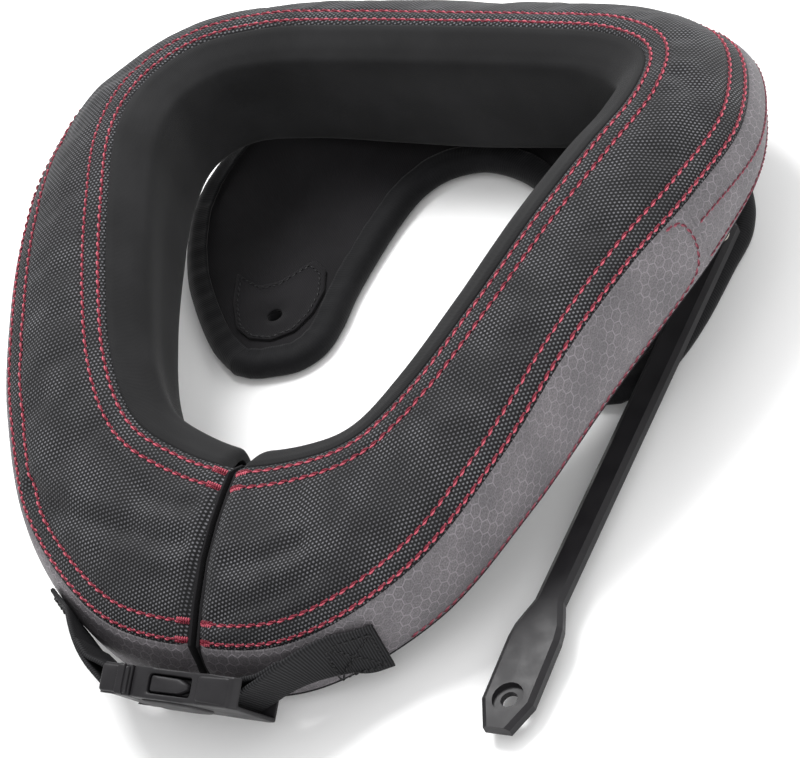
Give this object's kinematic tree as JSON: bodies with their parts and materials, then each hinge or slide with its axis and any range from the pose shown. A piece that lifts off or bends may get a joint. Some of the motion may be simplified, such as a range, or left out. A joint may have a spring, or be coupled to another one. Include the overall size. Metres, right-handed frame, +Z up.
{
  "type": "motocross neck brace",
  "caption": "Padded teardrop neck collar, split and buckled at the front, with a two-lobed rear flap and a stiff strut.",
  "frame": {"origin": "centre of the bounding box on the ground it lies on; x = 0 is the collar's plane of symmetry", "axes": "+Z up, -Y to the split and buckle at the throat, +Y to the nape, +X to the wearer's left"},
  "size_m": [0.2638, 0.3054, 0.0795],
  "materials": {
    "mesh_cloth": "matt woven mesh with red saddle stitching",
    "grey_ripstop": "matt ripstop with a raised hexagon grid",
    "neoprene": "matt jersey-faced neoprene",
    "binding_tape": "matt folded tape with black stitching",
    "foam": "open-cell foam, covered",
    "webbing": "ribbed webbing",
    "nylon_plastic": "satin moulded nylon",
    "nickel_steel": "bright nickel plating"
  },
  "bodies": {
    "root": {"collar_foam": "foam", "top_cover": "mesh_cloth", "side_wall_left": "grey_ripstop", "side_wall_right": "grey_ripstop", "rear_wall": "grey_ripstop", "base_panel": "neoprene", "neck_lining": "neoprene", "end_panel_left": "neoprene", "end_panel_right": "neoprene", "rear_flap": "neoprene", "flap_binding": "binding_tape", "lobe_patch_left": "neoprene", "lobe_patch_right": "neoprene", "strut": "nylon_plastic", "strut_post": "nickel_steel", "strap_left": "webbing", "strap_right": "webbing", "buckle_female": "nylon_plastic", "buckle_male": "nylon_plastic"}
  },
  "joints": []
}
